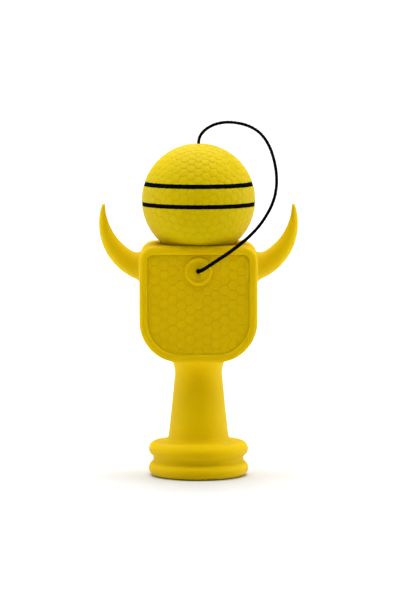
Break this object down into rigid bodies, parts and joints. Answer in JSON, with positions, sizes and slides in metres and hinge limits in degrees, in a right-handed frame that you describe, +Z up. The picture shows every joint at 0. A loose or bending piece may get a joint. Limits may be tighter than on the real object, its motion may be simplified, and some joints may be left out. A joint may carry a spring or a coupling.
{
  "type": "kendama",
  "caption": "Soft-moulded kendama: a corded ball seated on the spike of a handle with a square torso, two curved horns, honeycomb panels and a double-ring base cup.",
  "frame": {"origin": "middle of the base's underside, on the surface that it stands on", "axes": "+Z up along the handle and the spike, -Y to the front with the cord's eyelet, +X to the right horn"},
  "size_m": [0.1066, 0.0622, 0.1908],
  "materials": {
    "soft_yellow": "matte soft-touch moulding",
    "panel_rubber": "matte honeycomb relief",
    "stripe_black": "matte",
    "cord_black": "braided",
    "core_plastic": "matte",
    "bead_wood": "plain"
  },
  "bodies": {
    "ken": {"spike_core": "core_plastic", "handle": "soft_yellow", "torso": "soft_yellow", "front_panel": "panel_rubber", "rear_panel": "panel_rubber", "left_horn": "soft_yellow", "right_horn": "soft_yellow", "cord_eyelet": "soft_yellow", "anchor_cord": "cord_black", "anchor_knot": "cord_black", "cord": "cord_black"},
    "cord_end": {"bead": "bead_wood", "bead_cord": "cord_black", "bead_knot": "cord_black"},
    "ball": {"ball": "soft_yellow", "upper_stripe": "stripe_black", "lower_stripe": "stripe_black"}
  },
  "joints": [
    {"name": "ball_lift", "type": "slide", "parent": "ken", "child": "cord_end", "axis": [0, 0, 1], "range_m": [0, 0.05], "deforming": ["cord"]},
    {"name": "ball_spin", "type": "hinge", "parent": "cord_end", "child": "ball", "pos_m": [0, 0, 0.14826], "axis": [0, 0, 1], "continuous": true}
  ]
}
